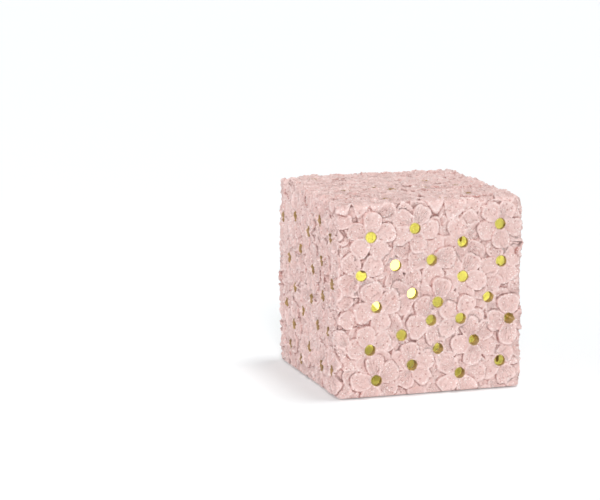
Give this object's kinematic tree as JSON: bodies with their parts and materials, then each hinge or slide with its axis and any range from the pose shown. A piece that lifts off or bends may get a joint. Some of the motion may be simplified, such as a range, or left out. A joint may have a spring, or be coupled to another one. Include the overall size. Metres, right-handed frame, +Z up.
{
  "type": "flower cube lamp",
  "caption": "Cube lamp with a pierced ceramic shell covered in flower relief, standing over a low base with a battery LED lantern inside.",
  "frame": {"origin": "centre of the square footprint, on the surface that the feet stand on", "axes": "+Z up; -Y is the face seen from the front; +X to the right as it is seen from the front"},
  "size_m": [0.12, 0.12, 0.12],
  "materials": {
    "pink_bisque": "matte bisque, flower relief, slightly sparkling",
    "tray_plastic": "fine spark-eroded texture",
    "head_plastic": "fine satin",
    "frosted_globe": "frosted, lit from inside",
    "dark_rubber": "matte",
    "cell_jacket": "satin printed jacket, plain",
    "nickel_contact": "nickel plate",
    "brass_pin": "polished",
    "green_board": "solder mask",
    "white_board": "white solder mask on aluminium",
    "black_component": "moulded epoxy",
    "led_package": "phosphor yellow",
    "red_lead": "insulated wire",
    "black_lead": "insulated wire",
    "screw_steel": "zinc plate",
    "switch_plastic": "fine matte"
  },
  "bodies": {
    "base": {"base_tray": "tray_plastic", "switch_body": "black_component", "spring_pin_positive": "brass_pin", "spring_pin_negative": "brass_pin", "foot_front_left": "dark_rubber", "foot_front_right": "dark_rubber", "foot_back_left": "dark_rubber", "foot_back_right": "dark_rubber", "battery_cell_1": "cell_jacket", "button_contact_1": "nickel_contact", "spring_contact_1": "nickel_contact", "battery_cell_2": "cell_jacket", "button_contact_2": "nickel_contact", "spring_contact_2": "nickel_contact", "battery_cell_3": "cell_jacket", "button_contact_3": "nickel_contact", "spring_contact_3": "nickel_contact"},
    "switch": {"switch_knob": "switch_plastic"},
    "lantern_head": {"head_housing": "head_plastic", "circuit_board": "green_board", "driver_chip": "black_component", "smoothing_capacitor": "black_component", "board_screws": "screw_steel", "light_column": "head_plastic", "led_lead_positive": "red_lead", "led_lead_negative": "black_lead", "led_board": "white_board", "led_chip_1": "led_package", "led_chip_2": "led_package", "led_chip_3": "led_package", "globe_diffuser": "frosted_globe"},
    "shell": {"flower_shell": "pink_bisque"}
  },
  "joints": [
    {"name": "shell_lift", "type": "slide", "parent": "base", "child": "shell", "axis": [0, 0, 1], "range_m": [0, 0.11]},
    {"name": "head_lift", "type": "slide", "parent": "base", "child": "lantern_head", "axis": [0, 0, 1], "range_m": [0, 0.03]},
    {"name": "switch_slide", "type": "slide", "parent": "base", "child": "switch", "axis": [1, 0, 0], "range_m": [0, 0.003]}
  ]
}
